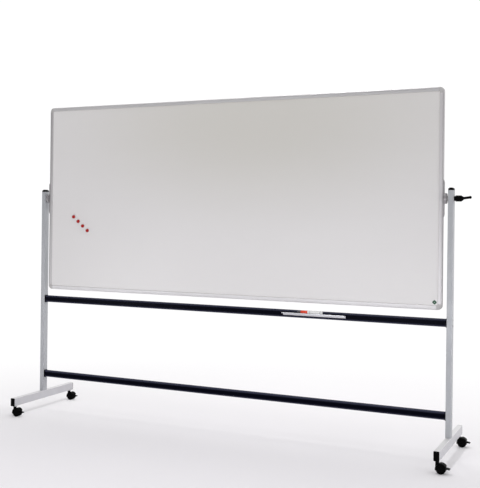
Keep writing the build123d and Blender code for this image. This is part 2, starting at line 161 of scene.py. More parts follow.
def speckled(
    name,
    color,
    roughness,
    grain,
    speck,
    bump,
    metallic=0.0,
    specular=0.5,
    coat=0.0,
    dust=0.0,
    painted_light_color=None,
):
    """Paint or moulded plastic: a fine grain, faint cloudy tone, uneven gloss, and dust low down.

    The optional second, lighter colour, matched, is painted light and painted highlights on faces
    that look up or down."""
    m = Nodes(name)
    fine = m.noise(grain, 3.0)
    cloud = m.noise(3.5, 4.0)
    clouded = m.span(cloud, 0.3, 0.7, 0.0, 1.0)
    toned = m.mix(clouded, darker(color, 1 - speck), darker(color, 1 + speck))
    flecked = m.mix(m.span(fine, 0.35, 0.65, 0.0, 1.0), toned, darker(color, 1 + 2 * speck))
    if dust:
        low = m.span(m.axis(2), 0.0, DUST_HEIGHT, dust, 0.0)
        patches = m.math("MULTIPLY", low, m.noise(60.0, 5.0))
        flecked = m.mix(patches, flecked, DUST_COLOR)
    # Painted light: faces that look up or down take the lighter second colour, standing in for
    # highlights and light from above.
    if painted_light_color:
        slope = m.math("ABSOLUTE", m.add("SeparateXYZ", {"Vector": m.normal}).outputs[2])
        flecked = m.mix(m.span(slope, 0.05, 0.6, 0.0, 1.0), flecked, painted_light_color)
    m.link(flecked, "Base Color")
    smear = m.noise(9.0, 5.0, roughness=0.6)
    m.link(m.span(smear, 0.3, 0.7, roughness * 0.85, roughness * 1.15), "Roughness")
    m.set(Metallic=metallic, Specular_IOR_Level=specular)
    if coat:
        m.set(Coat_Weight=coat, Coat_Roughness=0.12)
    m.bump(fine, bump, 0.0004)
    return m.material


def brushed(name, color, roughness, along, metallic=1.0, strength=0.12, flank=None):
    """Drawn metal: fine streaks along one axis, with a slow change of tone.

    Where flank is given, the metal is darker beyond that distance from the middle: painted shade on
    the outer side."""
    m = Nodes(name)
    stretch = [700.0, 700.0, 700.0]
    stretch[along] = 2.5
    streaks = m.noise(1.0, 3.0, vector=m.scaled(stretch))
    cloud = m.noise(2.2, 3.0)
    streaked = m.mix(m.span(streaks, 0.3, 0.7, 0.0, 1.0), darker(color, 0.93), darker(color, 1.04))
    toned = m.mix(m.span(cloud, 0.3, 0.7, 0.0, 0.3), streaked, darker(color, 0.94))
    # Painted shade: past flank, the outer side is darkened.
    if flank:
        out = m.span(m.math("ABSOLUTE", m.axis(0)), flank - 3 * MM, flank, 0.0, FLANK_PAINTED_SHADE)
        toned = m.mix(out, toned, darker(color, 0.3))
    m.link(toned, "Base Color")
    m.link(m.span(streaks, 0.3, 0.7, roughness * 0.85, roughness * 1.2), "Roughness")
    m.set(Metallic=metallic, Anisotropic=0.35)
    m.bump(streaks, strength, 0.0001)
    return m.material


def zinc(name):
    """Zinc plating: soft crystals, a touch of blue and yellow, and fine pits."""
    m = Nodes(name)
    crystals = m.cells(520.0)
    tone = m.noise(160.0, 3.0)
    plated = m.mix(m.span(tone, 0.35, 0.65, 0.0, 1.0), (0.50, 0.51, 0.54), (0.60, 0.59, 0.55))
    m.link(m.mix(m.span(crystals, 0.0, 0.8, 0.0, 0.35), plated, (0.40, 0.40, 0.42)), "Base Color")
    m.link(m.span(m.noise(300.0, 4.0), 0.3, 0.7, 0.26, 0.44), "Roughness")
    m.set(Metallic=1.0)
    m.bump(crystals, 0.06, 0.0002)
    return m.material


def enamel(name, middle):
    """White enamel on steel: smears in the gloss, a faint trace of ink, slight orange peel.

    A grey cloud, matched, is strongest at the point given as middle: a painted reflection of the dark
    room in the gloss. It is part of the colour, and turns with the board."""
    m = Nodes(name)
    white = (0.728, 0.713, 0.713)
    reflection_color = (0.52, 0.505, 0.44)
    sweep = m.noise(1.0, 5.0, vector=m.scaled((0.9, 1.0, 4.0)), roughness=0.6, distortion=1.2)
    trace = m.noise(1.0, 6.0, vector=m.scaled((5.0, 1.0, 14.0)), roughness=0.65, distortion=0.8)
    toned = m.mix(m.span(sweep, 0.3, 0.7, 0.0, 1.0), darker(white, 0.99), white)
    inked = m.mix(m.span(trace, 0.6, 0.85, 0.0, 0.012), toned, (0.55, 0.56, 0.62))
    # Painted reflection: a darker, warmer cloud round middle.
    from_middle = m.vector_math("SUBTRACT", m.coords, middle)[0]
    stretched = m.vector_math("MULTIPLY", from_middle, PAINTED_REFLECTION_STRETCH)[0]
    away = m.vector_math("LENGTH", stretched)["Value"]
    m.link(m.mix(m.faded(away, *PAINTED_REFLECTION_FADE, PAINTED_REFLECTION, 0.0), inked, reflection_color), "Base Color")
    m.link(m.span(m.math("ADD", sweep, trace), 0.75, 1.25, 0.30, 0.33), "Roughness")
    m.bump(m.noise(260.0, 2.0), 0.03, 0.0003)
    return m.material


def nylon(name, color):
    m = Nodes(name)
    tone = m.noise(90.0, 3.0)
    m.link(m.mix(m.span(tone, 0.3, 0.7, 0.0, 1.0), darker(color, 0.95), color), "Base Color")
    m.link(m.span(m.noise(400.0, 3.0), 0.3, 0.7, 0.38, 0.52), "Roughness")
    m.bump(m.noise(1800.0, 2.0), 0.08, 0.0002)
    return m.material


def banded(name, color, band_color, bands, roughness):
    """Gloss plastic with plain printed bands round it, given as (from, to) along X."""
    m = Nodes(name)
    x = m.axis(0)
    tone = m.noise(70.0, 3.0)
    body = m.mix(m.span(tone, 0.3, 0.7, 0.0, 1.0), darker(color, 0.96), color)
    for low, high in bands:
        inside = m.math("MULTIPLY", m.math("GREATER_THAN", x, low), m.math("LESS_THAN", x, high))
        body = m.mix(inside, body, band_color)
    m.link(body, "Base Color")
    m.link(m.span(m.noise(200.0, 4.0), 0.3, 0.7, roughness * 0.8, roughness * 1.3), "Roughness")
    m.set(Coat_Weight=0.3, Coat_Roughness=0.08)
    m.bump(m.noise(900.0, 2.0), 0.02, 0.0002)
    return m.material


def honeycomb(name):
    m = Nodes(name)
    walls = m.cells(90.0, "DISTANCE_TO_EDGE")
    paper = m.mix(m.noise(40.0, 5.0), (0.42, 0.33, 0.23), (0.52, 0.42, 0.30))
    m.link(m.mix(m.span(walls, 0.0, 0.08, 1.0, 0.0), paper, (0.30, 0.23, 0.16)), "Base Color")
    m.link(m.span(m.noise(300.0, 3.0), 0.3, 0.7, 0.8, 0.95), "Roughness")
    m.bump(walls, 0.3, 0.001)
    return m.material


def printed(name, node):
    """A label: a green diamond with a pale dot in its middle, on a pale ground."""
    m = Nodes(name)
    low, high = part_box(node)
    middle = (low + high) / 2
    half = (high.x - low.x) / 2
    from_middle_x = m.span(m.axis(0), middle.x, middle.x + half, 0.0, 1.0, clamp=False)
    from_middle_z = m.span(m.axis(2), middle.z, middle.z + half, 0.0, 1.0, clamp=False)
    across, up = m.math("ABSOLUTE", from_middle_x), m.math("ABSOLUTE", from_middle_z)
    pale = m.mix(m.noise(500.0, 3.0), (0.58, 0.64, 0.62), (0.66, 0.70, 0.69))
    green = m.mix(m.noise(700.0, 3.0), (0.002, 0.055, 0.02), (0.004, 0.085, 0.03))
    diamond = m.math("LESS_THAN", m.math("ADD", across, up), DIAMOND)
    outside_dot = m.math("GREATER_THAN", m.math("MAXIMUM", across, up), DOT)
    m.link(m.mix(m.math("MULTIPLY", diamond, outside_dot), pale, green), "Base Color")
    m.link(m.span(m.noise(300.0, 3.0), 0.3, 0.7, 0.34, 0.46), "Roughness")
    m.bump(m.noise(900.0, 2.0), 0.02, 0.0002)
    return m.material


# Each material has its own share of dust at the floor. The dust ends at this height.
DUST_HEIGHT = 0.12
DUST_COLOR = (0.20, 0.19, 0.18)
# The frame's outer side starts this far past the edge of the sheet, and is darkened by this share:
# painted shade. The share is matched.
FLANK_PAST_SHEET = 0.018
FLANK_PAINTED_SHADE = 0.38
# The painted reflection in the enamel, a grey cloud: its share at its middle, the distances where it
# starts and ends fading, the factors that make it wide and low, and where its middle is on the board.
PAINTED_REFLECTION = 0.52
PAINTED_REFLECTION_FADE = (0.1, 1.15)
PAINTED_REFLECTION_STRETCH = (0.66, 0.0, 1.5)
PAINTED_REFLECTION_FROM_CENTRE = 0.18
PAINTED_REFLECTION_BELOW_TOP = 0.1
# The label's diamond and its dot, as shares of the label's radius.
DIAMOND = 1.15
DOT = 0.14

sheet_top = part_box("front_writing_sheet")[1]
flank = sheet_top.x + FLANK_PAST_SHEET
marker_low, marker_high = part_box("marker_barrel")
marker_bands = (
    (marker_low.x + 34 * MM, marker_low.x + 36 * MM),
    (marker_high.x - 14 * MM, marker_high.x - 10 * MM),
)
materials = {
    "board_core": honeycomb("paper_honeycomb"),
    "writing_surface": enamel(
        "white_enamel", (PAINTED_REFLECTION_FROM_CENTRE, 0.0, sheet_top.z - PAINTED_REFLECTION_BELOW_TOP)
    ),
    "corner_plastic": speckled(
        "corner_grey", (0.44, 0.43, 0.43), roughness=0.42, grain=1500.0, speck=0.05, bump=0.05
    ),
    "pivot_steel": speckled(
        "pivot_grey",
        (0.30, 0.29, 0.30),
        roughness=0.38,
        grain=1100.0,
        speck=0.05,
        bump=0.06,
        metallic=0.4,
    ),
    "bush_nylon": nylon("bush_white", (0.78, 0.78, 0.76)),
    "silver_paint": speckled(
        "silver_coat",
        (0.375, 0.385, 0.405),
        roughness=0.42,
        grain=1300.0,
        speck=0.05,
        bump=0.06,
        metallic=0.3,
    ),
    # This coat is lighter on its faces that look up or down: a painted highlight.
    "black_paint": speckled(
        "black_coat",
        (0.0008, 0.0010, 0.0042),
        roughness=0.28,
        grain=900.0,
        speck=0.1,
        bump=0.03,
        specular=0.02,
        painted_light_color=(0.036, 0.038, 0.062),
    ),
    "black_plastic": speckled(
        "black_moulding",
        (0.0007, 0.0007, 0.0009),
        roughness=0.45,
        grain=2200.0,
        speck=0.15,
        bump=0.08,
        specular=0.03,
        dust=0.008,
    ),
    "wheel_black": speckled(
        "wheel_tread",
        (0.0007, 0.0007, 0.0008),
        roughness=0.5,
        grain=1600.0,
        speck=0.15,
        bump=0.1,
        specular=0.03,
        dust=0.012,
    ),
    "zinc_steel": zinc("zinc_plate"),
    "tray_aluminium": brushed(
        "tray_metal", (0.60, 0.60, 0.63), roughness=0.34, along=0, metallic=0.7
    ),
    "marker_white": banded(
        "marker_body", (0.80, 0.80, 0.79), (0.35, 0.35, 0.38), marker_bands, roughness=0.25
    ),
    "marker_red": speckled(
        "cap_red", (0.72, 0.055, 0.018), roughness=0.28, grain=900.0, speck=0.05, bump=0.03, coat=0.3
    ),
    "marker_dark": speckled(
        "cap_end_grey", (0.07, 0.07, 0.08), roughness=0.4, grain=1200.0, speck=0.08, bump=0.05
    ),
    "magnet_red": speckled(
        "magnet_gloss",
        (0.34, 0.005, 0.004),
        roughness=0.24,
        grain=700.0,
        speck=0.05,
        bump=0.03,
        specular=0.3,
        coat=0.2,
    ),
    "sticker": printed("sticker_print", "corner_sticker"),
}
# These tones, matched, are painted light and shade: the feet are painted paler than the posts, and
# paler still on faces that look up or down, and the left rail is painted darker than the right. The
# real ones may well be of one paint and one metal.
lit_foot_paint = speckled(
    "foot_coat_lit",
    (0.495, 0.49, 0.515),
    roughness=0.42,
    grain=1300.0,
    speck=0.05,
    bump=0.06,
    metallic=0.2,
    painted_light_color=(0.68, 0.675, 0.69),
)
frame_along_x = brushed(
    "frame_metal_x", (0.60, 0.59, 0.60), roughness=0.38, along=0, metallic=0.3
)
# The side rails are one metal: the left is a painted-shade copy and the right a painted-light copy.
shaded_frame_on_left = brushed(
    "frame_metal_left_shaded", (0.49, 0.475, 0.485), roughness=0.38, along=2, metallic=0.3, flank=flank
)
lit_frame_on_right = brushed(
    "frame_metal_right_lit", (0.64, 0.62, 0.635), roughness=0.38, along=2, metallic=0.3, flank=flank
)

# ---------------------------------------------------------------- pieces

# Edges that stay sharp, on most pieces, on profiles and on mouldings; what counts as flat.
SHARP = math.radians(32)
PROFILE_SHARP = math.radians(25)
DOME_SHARP = math.radians(40)
LEVER_SHARP = math.radians(60)
FLAT = math.radians(0.5)
# The number of sides of turned shapes.
ROUND = 64
WHEEL_ROUND = 72
SCREW_ROUND = 32
HEXAGON = 6

UP = Vector((0, 0, 1))
RIGHT = Vector((1, 0, 0))
BACK = Vector((0, 1, 0))


def add_piece(name, bm, node, material=None, sharp=SHARP):
    """Makes a mesh piece that stands for a CAD node, and rides on that node's body."""
    mesh = bpy.data.meshes.new(name)
    bmesh.ops.recalc_face_normals(bm, faces=bm.faces)
    bm.to_mesh(mesh)
    bm.free()
    piece = bpy.data.objects.new(name, mesh)
    scene.collection.objects.link(piece)
    mesh.shade_smooth()
    mesh.set_sharp_from_angle(angle=sharp)
    mesh.materials.append(material or materials[slot_of[node]])
    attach(piece, body_of[node])
    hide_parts(node)


def keep(node, material=None):
    """The CAD node as it is, with the scene's material."""
    mesh = nodes[node].data
    mesh.materials.clear()
    mesh.materials.append(material or materials[slot_of[node]])


def cad_mesh(node):
    """A copy of a CAD node's mesh, with its split points joined and its flat faces whole."""
    bm = bmesh.new()
    bm.from_mesh(nodes[node].data)
    bmesh.ops.remove_doubles(bm, verts=bm.verts, dist=1e-6)
    bmesh.ops.dissolve_limit(bm, angle_limit=FLAT, verts=bm.verts, edges=bm.edges)
    return bm


def softened(node, width, segments=2):
    """The CAD node's own shape, with its sharp edges rounded as far as the clamp lets them.

    The widths given here are in metres and far wider than any piece, so the overlap clamp sets the
    real ones by each piece's closest edges: from 0.01 mm on two pedals to 2.5 mm on the axles."""
    bm = cad_mesh(node)
    sharp = [e for e in bm.edges if len(e.link_faces) == 2 and e.calc_face_angle(0) > SHARP]
    bmesh.ops.bevel(
        bm,
        geom=sharp,
        offset=width,
        offset_type="OFFSET",
        segments=segments,
        profile=0.5,
        affect="EDGES",
        clamp_overlap=True,
    )
    add_piece(node + "_detail", bm, node)


def turned(bm, profile, origin, axis, steps=ROUND):
    """Adds a solid of revolution: profile is (radius, distance along axis) in millimetres."""
    axis = Vector(axis).normalized()
    side = axis.orthogonal().normalized()
    other = axis.cross(side)
    rings = []
    for radius, along in profile:
        centre = Vector(origin) + axis * along * MM
        if radius == 0:
            rings.append([bm.verts.new(centre)])
            continue
        turns = [2 * math.pi * k / steps for k in range(steps)]
        rings.append(
            [
                bm.verts.new(centre + radius * MM * (math.cos(a) * side + math.sin(a) * other))
                for a in turns
            ]
        )
    for low, high in zip(rings, rings[1:]):
        for k in range(steps):
            n = (k + 1) % steps
            lower = [low[k % len(low)], low[n % len(low)]]
            upper = [high[n % len(high)], high[k % len(high)]]
            unique = list(dict.fromkeys(lower + upper))
            if len(unique) > 2:
                bm.faces.new(unique)


def block(bm, centre, x_half, y_half, z_half, bevel=0.0):
    """Adds a small block, with its three half lengths given as vectors."""
    made = bmesh.ops.create_cube(bm, size=2.0)["verts"]
    matrix = Matrix((x_half, y_half, z_half)).transposed().to_4x4()
    matrix.translation = centre
    bmesh.ops.transform(bm, matrix=matrix, verts=made)
    if bevel:
        edges = list({e for v in made for e in v.link_edges})
        bmesh.ops.bevel(
            bm,
            geom=edges,
            offset=bevel,
            segments=2,
            profile=0.5,
            affect="EDGES",
            clamp_overlap=True,
        )


def carved(bm, cutter):
    """bm with the closed cutter mesh taken out of it."""
    shapes = []
    for source in (bm, cutter):
        mesh = bpy.data.meshes.new("carving")
        bmesh.ops.recalc_face_normals(source, faces=source.faces)
        source.to_mesh(mesh)
        source.free()
        shape = bpy.data.objects.new("carving", mesh)
        scene.collection.objects.link(shape)
        shapes.append(shape)
    modifier = shapes[0].modifiers.new("carve", "BOOLEAN")
    modifier.operation = "DIFFERENCE"
    modifier.solver = "EXACT"
    modifier.object = shapes[1]
    graph = bpy.context.evaluated_depsgraph_get()
    result = bmesh.new()
    result.from_mesh(shapes[0].evaluated_get(graph).to_mesh())
    for shape in shapes:
        mesh = shape.data
        bpy.data.objects.remove(shape)
        bpy.data.meshes.remove(mesh)
    return result


def corner_arc(centre, radius, start, steps):
    """Points on a quarter circle, from start degrees on."""
    return [
        (centre[0] + radius * math.cos(a), centre[1] + radius * math.sin(a))
        for a in (math.radians(start + 90 * k / steps) for k in range(steps + 1))
    ]


def extruded(bm, outline, start, end, across, inward):
    """Adds a straight profile: outline is (across, inward) in millimetres, from start to end."""
    ends = [
        [bm.verts.new(point + (across * u + inward * v) * MM) for u, v in outline]
        for point in (start, end)
    ]
    count = len(outline)
    for k in range(count):
        n = (k + 1) % count
        bm.faces.new((ends[0][k], ends[0][n], ends[1][n], ends[1][k]))
    bm.faces.new(ends[0])
    bm.faces.new(ends[1])


def lofted(bm, rings):
    """Joins rings of equal length into one closed skin."""
    for one, two in zip(rings, rings[1:]):
        count = len(one)
        for k in range(count):
            n = (k + 1) % count
            bm.faces.new((one[k], one[n], two[n], two[k]))
    bm.faces.new(rings[0])
    bm.faces.new(rings[-1])


# The frame's rails: the CAD's channel with a shadow groove in each face, a thin groove along the
# middle of the outer side, and rounded lips. Lengths in this section are in millimetres.
FRAME_HALF = 11.0
FRAME_FACE = 24.0
FRAME_WALL = 2.0
FRAME_ROUND = 5.0
GROOVE_AT = 8.6
GROOVE = 1.1
GROOVE_DEEP = 0.7
GROOVE_SLOPE = 0.25
SEAM_HALF = 0.9
SEAM_FLOOR = 0.6
SEAM_DEEP = 0.35
CORNER_RADIUS = 25.0
CORNER_STEPS = 12
CORNER_CHAMFER = 0.35


def rounded_side():
    """The outline's round from the outer side to the front face."""
    return corner_arc((FRAME_HALF - FRAME_ROUND, FRAME_ROUND), FRAME_ROUND, -90, 6)


def rail_outline():
    half = [(0.0, SEAM_DEEP), (SEAM_FLOOR, SEAM_DEEP), (SEAM_HALF, 0.0)]
    half += rounded_side()
    half += [
        (FRAME_HALF, GROOVE_AT),
        (FRAME_HALF - GROOVE_DEEP, GROOVE_AT + GROOVE_SLOPE),
        (FRAME_HALF - GROOVE_DEEP, GROOVE_AT + GROOVE - GROOVE_SLOPE),
        (FRAME_HALF, GROOVE_AT + GROOVE),
        (FRAME_HALF, FRAME_FACE - 1.6),
        (FRAME_HALF - 0.6, FRAME_FACE - 0.4),
        (FRAME_HALF - 1.2, FRAME_FACE),
        (FRAME_HALF - FRAME_WALL, FRAME_FACE),
        (FRAME_HALF - FRAME_WALL, 5.0),
        (FRAME_HALF - FRAME_WALL - 1.0, 3.0),
        (FRAME_HALF - FRAME_WALL - 3.0, FRAME_WALL),
    ]
    mirrored = [(-u, v) for u, v in reversed(half) if u > 0]
    return half[1:] + mirrored


def corner_outline():
    half = rounded_side()
    half += [
        (FRAME_HALF, FRAME_FACE - 2),
        (FRAME_HALF - 0.7, FRAME_FACE - 0.5),
        (FRAME_HALF - 1.4, FRAME_FACE),
        (FRAME_HALF - FRAME_WALL, FRAME_FACE),
        (FRAME_HALF - FRAME_WALL, 5.0),
        (FRAME_HALF - FRAME_WALL - 3.0, FRAME_WALL),
    ]
    return half + [(-u, v) for u, v in reversed(half)]


def corner_ring(bm, place, outward, shrink):
    """The corner's outline at one place of its bend, made smaller by shrink at its two ends."""
    ring = []
    for u, v in corner_outline():
        narrowed = u - math.copysign(shrink, u)
        sunk = v + (shrink if v < 3 else 0)
        ring.append(bm.verts.new(place + BACK * narrowed * MM - outward * sunk * MM))
    return ring


for node, inward, metal in (
    ("frame_top_rail", -UP, frame_along_x),
    ("frame_bottom_rail", UP, frame_along_x),
    ("frame_left_rail", RIGHT, shaded_frame_on_left),
    ("frame_right_rail", -RIGHT, lit_frame_on_right),
):
    low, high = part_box(node)
    edge = (low + high) / 2 - inward * (abs((high - low).dot(inward)) / 2)
    along = UP if abs(inward.x) else RIGHT
    half_length = along * ((high - low).dot(along) / 2)
    bm = bmesh.new()
    extruded(bm, rail_outline(), edge - half_length, edge + half_length, BACK, inward)
    add_piece(node + "_profile", bm, node, metal, PROFILE_SHARP)

# Corner pieces: the same outer shape bent round each corner, without the grooves.
low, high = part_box("frame_corners")
rail_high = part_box("frame_top_rail")[1]
arm = (high.x - rail_high.x) / MM
bm = bmesh.new()
for sign_x in (-1, 1):
    for sign_z in (-1, 1):
        tip = Vector((high.x * sign_x, 0, high.z if sign_z > 0 else low.z))
        out_x, out_z = RIGHT * sign_x, UP * sign_z
        centre = tip - (out_x + out_z) * CORNER_RADIUS * MM
        rings = []
        for shrink, distance in ((CORNER_CHAMFER, arm), (0.0, arm - CORNER_CHAMFER)):
            rings.append(corner_ring(bm, tip - out_x * distance * MM, out_z, shrink))
        for k in range(CORNER_STEPS + 1):
            angle = math.pi / 2 * k / CORNER_STEPS
            outward = out_z * math.cos(angle) + out_x * math.sin(angle)
            rings.append(corner_ring(bm, centre + outward * CORNER_RADIUS * MM, outward, 0.0))
        for shrink, distance in ((0.0, arm - CORNER_CHAMFER), (CORNER_CHAMFER, arm)):
            rings.append(corner_ring(bm, tip - out_z * distance * MM, out_x, shrink))
        lofted(bm, rings)
add_piece("frame_corners_moulded", bm, "frame_corners", sharp=PROFILE_SHARP)

# The enamel sheets, core, tubes and hidden steel pieces keep their CAD shape.
for node in (
    "board_core",
    "front_writing_sheet",
    "back_writing_sheet",
    "left_post",
    "right_post",
    "upper_crossbar",
    "lower_crossbar",
    "clamp_insert",
    "post_base_plugs",
):
    keep(node)
for node in ("left_foot", "right_foot"):
    keep(node, lit_foot_paint)

# These keep it too, with clamped bevels on their sharp edges.
for node, width in {
    "left_pivot_plate": 0.7,
    "right_pivot_plate": 0.7,
    "left_pivot_bush": 0.4,
    "right_pivot_bush": 0.4,
    "foot_end_caps": 0.5,
    "crossbar_end_plugs": 0.7,
    "post_base_bolts": 0.4,
    "caster_stems": 0.5,
    "pen_tray": 0.3,
    "corner_sticker": 0.1,
}.items():
    softened(node, width)

# Pivot hubs: a turned disc with a ring groove in its face, a boss and the shaft.
HUB_RADIUS = 29.0
HUB_DEPTH = 14.0
HUB_GROOVE = (25.0, 21.4)
BOSS_RADIUS = 13.0
BOSS_END = 18.7
SHAFT_RADIUS = 6.0
for node, sign in {"left_pivot_hub": -1, "right_pivot_hub": 1}.items():
    low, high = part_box(node)
    middle = (low + high) / 2
    length = (high.x - low.x) / MM
    start = Vector((low.x if sign > 0 else high.x, middle.y, middle.z))
    groove_out, groove_in = HUB_GROOVE
    profile = [
        (0, 0),
        (HUB_RADIUS - 0.6, 0),
        (HUB_RADIUS, 0.6),
        (HUB_RADIUS, HUB_DEPTH - 3.6),
        (HUB_RADIUS - 0.5, HUB_DEPTH - 2.1),
        (HUB_RADIUS - 1.8, HUB_DEPTH - 0.8),
        (groove_out + 0.6, HUB_DEPTH - 0.3),
        (groove_out, HUB_DEPTH - 0.8),
        (groove_out - 0.4, HUB_DEPTH - 1.6),
        (groove_in + 1.0, HUB_DEPTH - 1.6),
        (groove_in + 0.6, HUB_DEPTH - 0.8),
        (groove_in, HUB_DEPTH - 0.2),
        (groove_in - 1.0, HUB_DEPTH),
        (BOSS_RADIUS + 0.6, HUB_DEPTH),
        (BOSS_RADIUS + 0.1, HUB_DEPTH + 0.3),
        (BOSS_RADIUS, HUB_DEPTH + 0.9),
        (BOSS_RADIUS, BOSS_END - 0.7),
        (BOSS_RADIUS - 0.6, BOSS_END),
        (SHAFT_RADIUS + 0.4, BOSS_END),
        (SHAFT_RADIUS, BOSS_END + 0.3),
        (SHAFT_RADIUS, length - 0.8),
        (SHAFT_RADIUS - 0.8, length),
        (0, length),
    ]
    bm = bmesh.new()
    turned(bm, profile, start, RIGHT * sign)
    add_piece(node + "_turned", bm, node)


def screws(node, places, head, shank, drive):
    """Dome-headed screws of one node, each with a hexagon or a slot in its head.

    head is (radius, height) and shank is (radius, length), in millimetres."""
    radius, height = head
    shank_radius, shank_length = shank
    screw = [
        (0, -shank_length),
        (shank_radius * 0.6, -shank_length),
        (shank_radius, -shank_length + 1.2),
        (shank_radius, 0),
        (radius * 0.97, 0),
        (radius, 0.12 * height),
        (radius * 0.96, 0.45 * height),
        (radius * 0.8, 0.78 * height),
        (radius * 0.55, 0.95 * height),
        (0, height),
    ]
    socket_floor = -0.65 * height
    socket = [(0, socket_floor), (0.52 * radius, socket_floor), (0.55 * radius, 1), (0, 1)]
    bm, cutter = bmesh.new(), bmesh.new()
    for place in places:
        out = RIGHT * math.copysign(1, place.x)
        turned(bm, screw, place, out, SCREW_ROUND)
        top = place + out * height * MM
        if drive == "hex":
            turned(cutter, socket, top, out, HEXAGON)
        else:
            side = out.orthogonal().normalized()
            slot_length = side * 0.55 * radius * MM
            slot_width = out.cross(side) * 0.11 * radius * MM
            block(cutter, top, slot_length, slot_width, out * 0.5 * height * MM)
    add_piece(node + "_heads", carved(bm, cutter), node)


def loose_parts(bm):
    """The corner points of each connected part, as lists of positions."""
    found, left = [], set(bm.verts)
    while left:
        stack, part = [left.pop()], []
        while stack:
            vert = stack.pop()
            part.append(vert.co.copy())
            for edge in vert.link_edges:
                other = edge.other_vert(vert)
                if other in left:
                    left.remove(other)
                    stack.append(other)
        found.append(part)
    return found


def screw_places(node, head_height):
    """Where a node's screw heads sit: the middle of each part, a head's height from its outer end."""
    bm = cad_mesh(node)
    boxes = [
        [pick(point[i] for point in part) for pick in (min, max) for i in range(3)]
        for part in loose_parts(bm)
    ]
    bm.free()
    places = []
    for low_x, low_y, low_z, high_x, high_y, high_z in sorted(boxes):
        seat = high_x - head_height * MM if high_x > 0 else low_x + head_height * MM
        places.append(Vector((seat, (low_y + high_y) / 2, (low_z + high_z) / 2)))
    return places


for node, head, shank, drive in (
    ("crossbar_screws", (6, 3.5), (3, 54), "hex"),
    ("pivot_plate_screws", (4, 2), (2, 10.3), "slot"),
):
    screws(node, screw_places(node, head[1]), head, shank, drive)

# Post caps: a low dome on a rim, over a plug that fits the tube. The steps are (height above the
# tube's end, inset from its outer side) in millimetres, from the plug's foot to the rim's top.
CAP_STEPS = [(-14, 2.4), (-13, 1.75), (0, 1.75), (0, 0.7), (0.5, 0.5), (4.4, 0.5), (5.4, 0.8)]
CAP_ROUND = 3.0
CAP_SMALLEST_ROUND = 1.2
RIM_TOP, RIM_INSET = CAP_STEPS[-1]
DOME_REACH = 12.5
DOME_STEPS = 9


def rounded_ring(bm, centre, half_x, half_y, radius, z):
    points = []
    for side_x, side_y, start in ((1, 1, 0), (-1, 1, 90), (-1, -1, 180), (1, -1, 270)):
        x = centre.x + side_x * (half_x - radius)
        y = centre.y + side_y * (half_y - radius)
        points += corner_arc((x, y), radius, start, 6)
    return [bm.verts.new((x, y, z)) for x, y in points]


caps_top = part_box("post_top_caps")[1].z
bm = bmesh.new()
for post in ("left_post", "right_post"):
    low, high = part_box(post)
    centre = (low + high) / 2
    half_x, half_y = (high - low).x / 2, (high - low).y / 2
    rim = high.z + RIM_TOP * MM
    rings = []
    for height, step_inset in CAP_STEPS:
        inset = step_inset * MM
        z = high.z + height * MM
        rings.append(
            rounded_ring(bm, centre, half_x - inset, half_y - inset, CAP_ROUND * MM, z)
        )
    for k in range(1, DOME_STEPS):
        angle = math.pi / 2 * k / DOME_STEPS
        inset = RIM_INSET * MM + DOME_REACH * MM * (1 - math.cos(angle))
        radius = max(CAP_SMALLEST_ROUND * MM, CAP_ROUND * MM - inset * 0.15)
        z = rim + (caps_top - rim) * math.sin(angle)
        rings.append(rounded_ring(bm, centre, half_x - inset, half_y - inset, radius, z))
    lofted(bm, rings)
add_piece("post_top_caps_domed", bm, "post_top_caps", sharp=DOME_SHARP)

# Magnets: a moulded cap with a rounded edge and a shallow dish.
MAGNET_RADIUS = 11.0
MAGNET_HEIGHT = 8.0
magnet = [
    (0, 0),
    (MAGNET_RADIUS - 0.4, 0),
    (MAGNET_RADIUS, 0.4),
    (MAGNET_RADIUS, MAGNET_HEIGHT - 2.4),
    (MAGNET_RADIUS - 0.2, MAGNET_HEIGHT - 1.4),
    (MAGNET_RADIUS - 0.8, MAGNET_HEIGHT - 0.5),
    (MAGNET_RADIUS - 1.8, MAGNET_HEIGHT),
    (MAGNET_RADIUS - 2.8, MAGNET_HEIGHT),
    (MAGNET_RADIUS - 3.6, MAGNET_HEIGHT - 0.3),
    (MAGNET_RADIUS - 4.4, MAGNET_HEIGHT - 0.5),
    (3.0, MAGNET_HEIGHT - 0.58),
    (0, MAGNET_HEIGHT - 0.6),
]
for number in range(1, 5):
    node = f"red_magnet_{number}"
    low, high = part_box(node)
    centre = Vector(((low.x + high.x) / 2, high.y, (low.z + high.z) / 2))
    bm = bmesh.new()
    turned(bm, magnet, centre, -BACK)
    add_piece(node + "_moulded", bm, node)

# Marker: a body with a neck and an end plug, a ribbed cap and a smaller cap end.
MARKER_RADIUS = 9.0
NECK_RADIUS = 6.0
NECK_LENGTH = 20.0
PLUG_GROOVE = 8.5
CAP_BORE = 6.3
CAP_BORE_DEPTH = 24.0
CAP_GROOVE = 3.9
RIBS = 14
RIB_FROM_END = 12.0
RIB_HALF = (7.5, 0.45, 0.35)
RIB_BEVEL = 0.15
TIP_RADIUS = 6.0


def marker_end(node):
    """A marker piece's far end, on the marker's axis, and its length in millimetres."""
    low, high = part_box(node)
    return Vector((high.x, axis_y, axis_z)), (high.x - low.x) / MM


